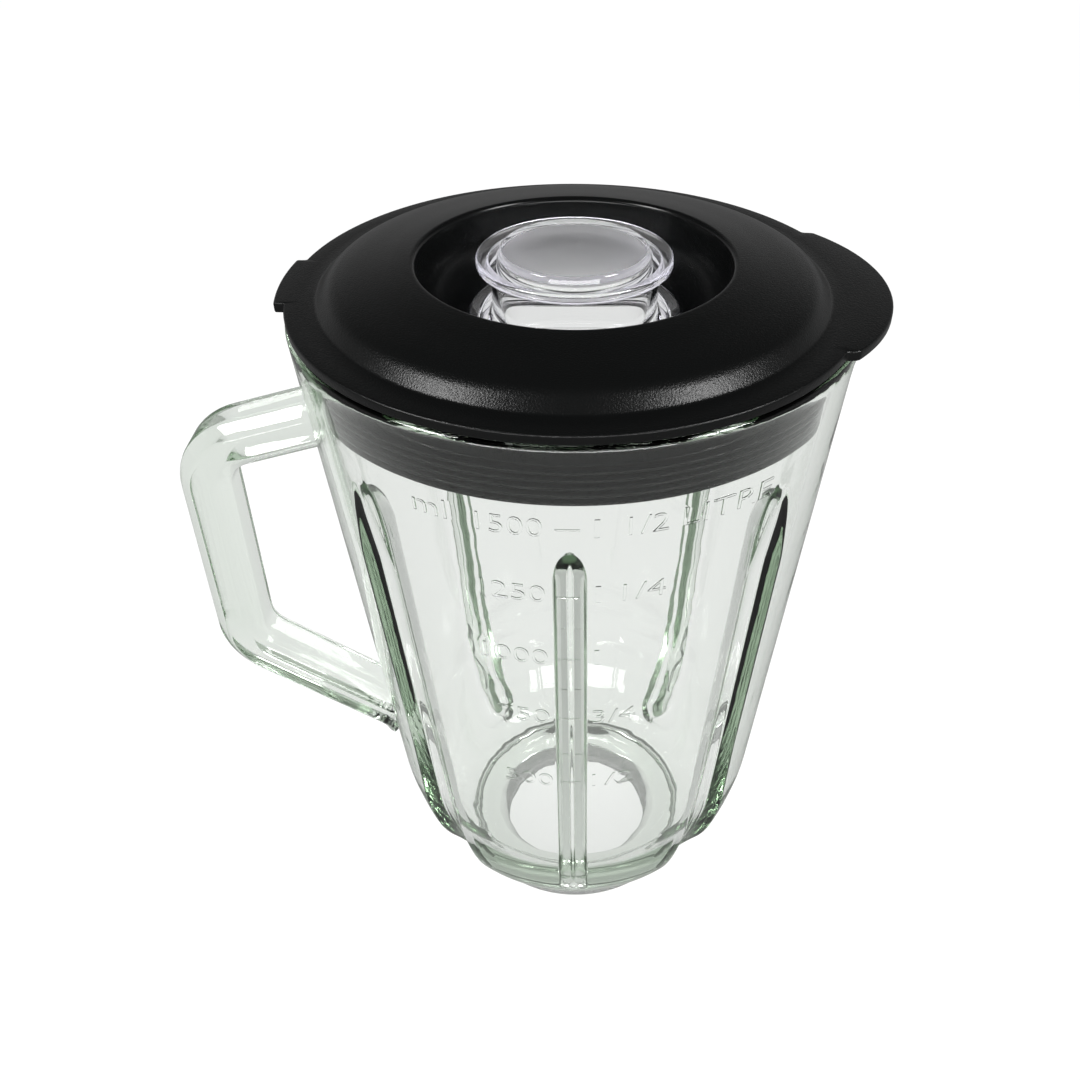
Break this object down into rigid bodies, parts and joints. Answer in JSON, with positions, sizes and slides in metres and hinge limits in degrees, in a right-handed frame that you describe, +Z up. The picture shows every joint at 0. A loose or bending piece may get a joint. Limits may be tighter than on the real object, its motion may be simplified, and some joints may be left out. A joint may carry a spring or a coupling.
{
  "type": "blender jar with lid",
  "caption": "Tall clear glass blender jar with pouring spout and side handle, closed by a black plastic lid with a rubber seal and a lift-out clear filler cap.",
  "frame": {"origin": "centre of the bore in the neck, at the foot face that stands in the base", "axes": "+Z up along the axis of the jar to the lid, +X towards the pouring spout, -X towards the handle, -Y towards the measuring scale on the front"},
  "size_m": [0.186, 0.1406, 0.2114],
  "materials": {
    "clear_glass": "polished",
    "black_plastic": "satin",
    "black_rubber": "matte",
    "clear_plastic": "polished"
  },
  "bodies": {
    "jar": {"glass_jar": "clear_glass"},
    "lid": {"lid_cover": "black_plastic", "lid_seal": "black_rubber"},
    "cap": {"filler_cap": "clear_plastic"}
  },
  "joints": [
    {"name": "lid_lift", "type": "slide", "parent": "jar", "child": "lid", "axis": [0, 0, 1], "range_m": [0, 0.06]},
    {"name": "cap_lift", "type": "slide", "parent": "lid", "child": "cap", "axis": [0, 0, 1], "range_m": [0, 0.045]}
  ]
}
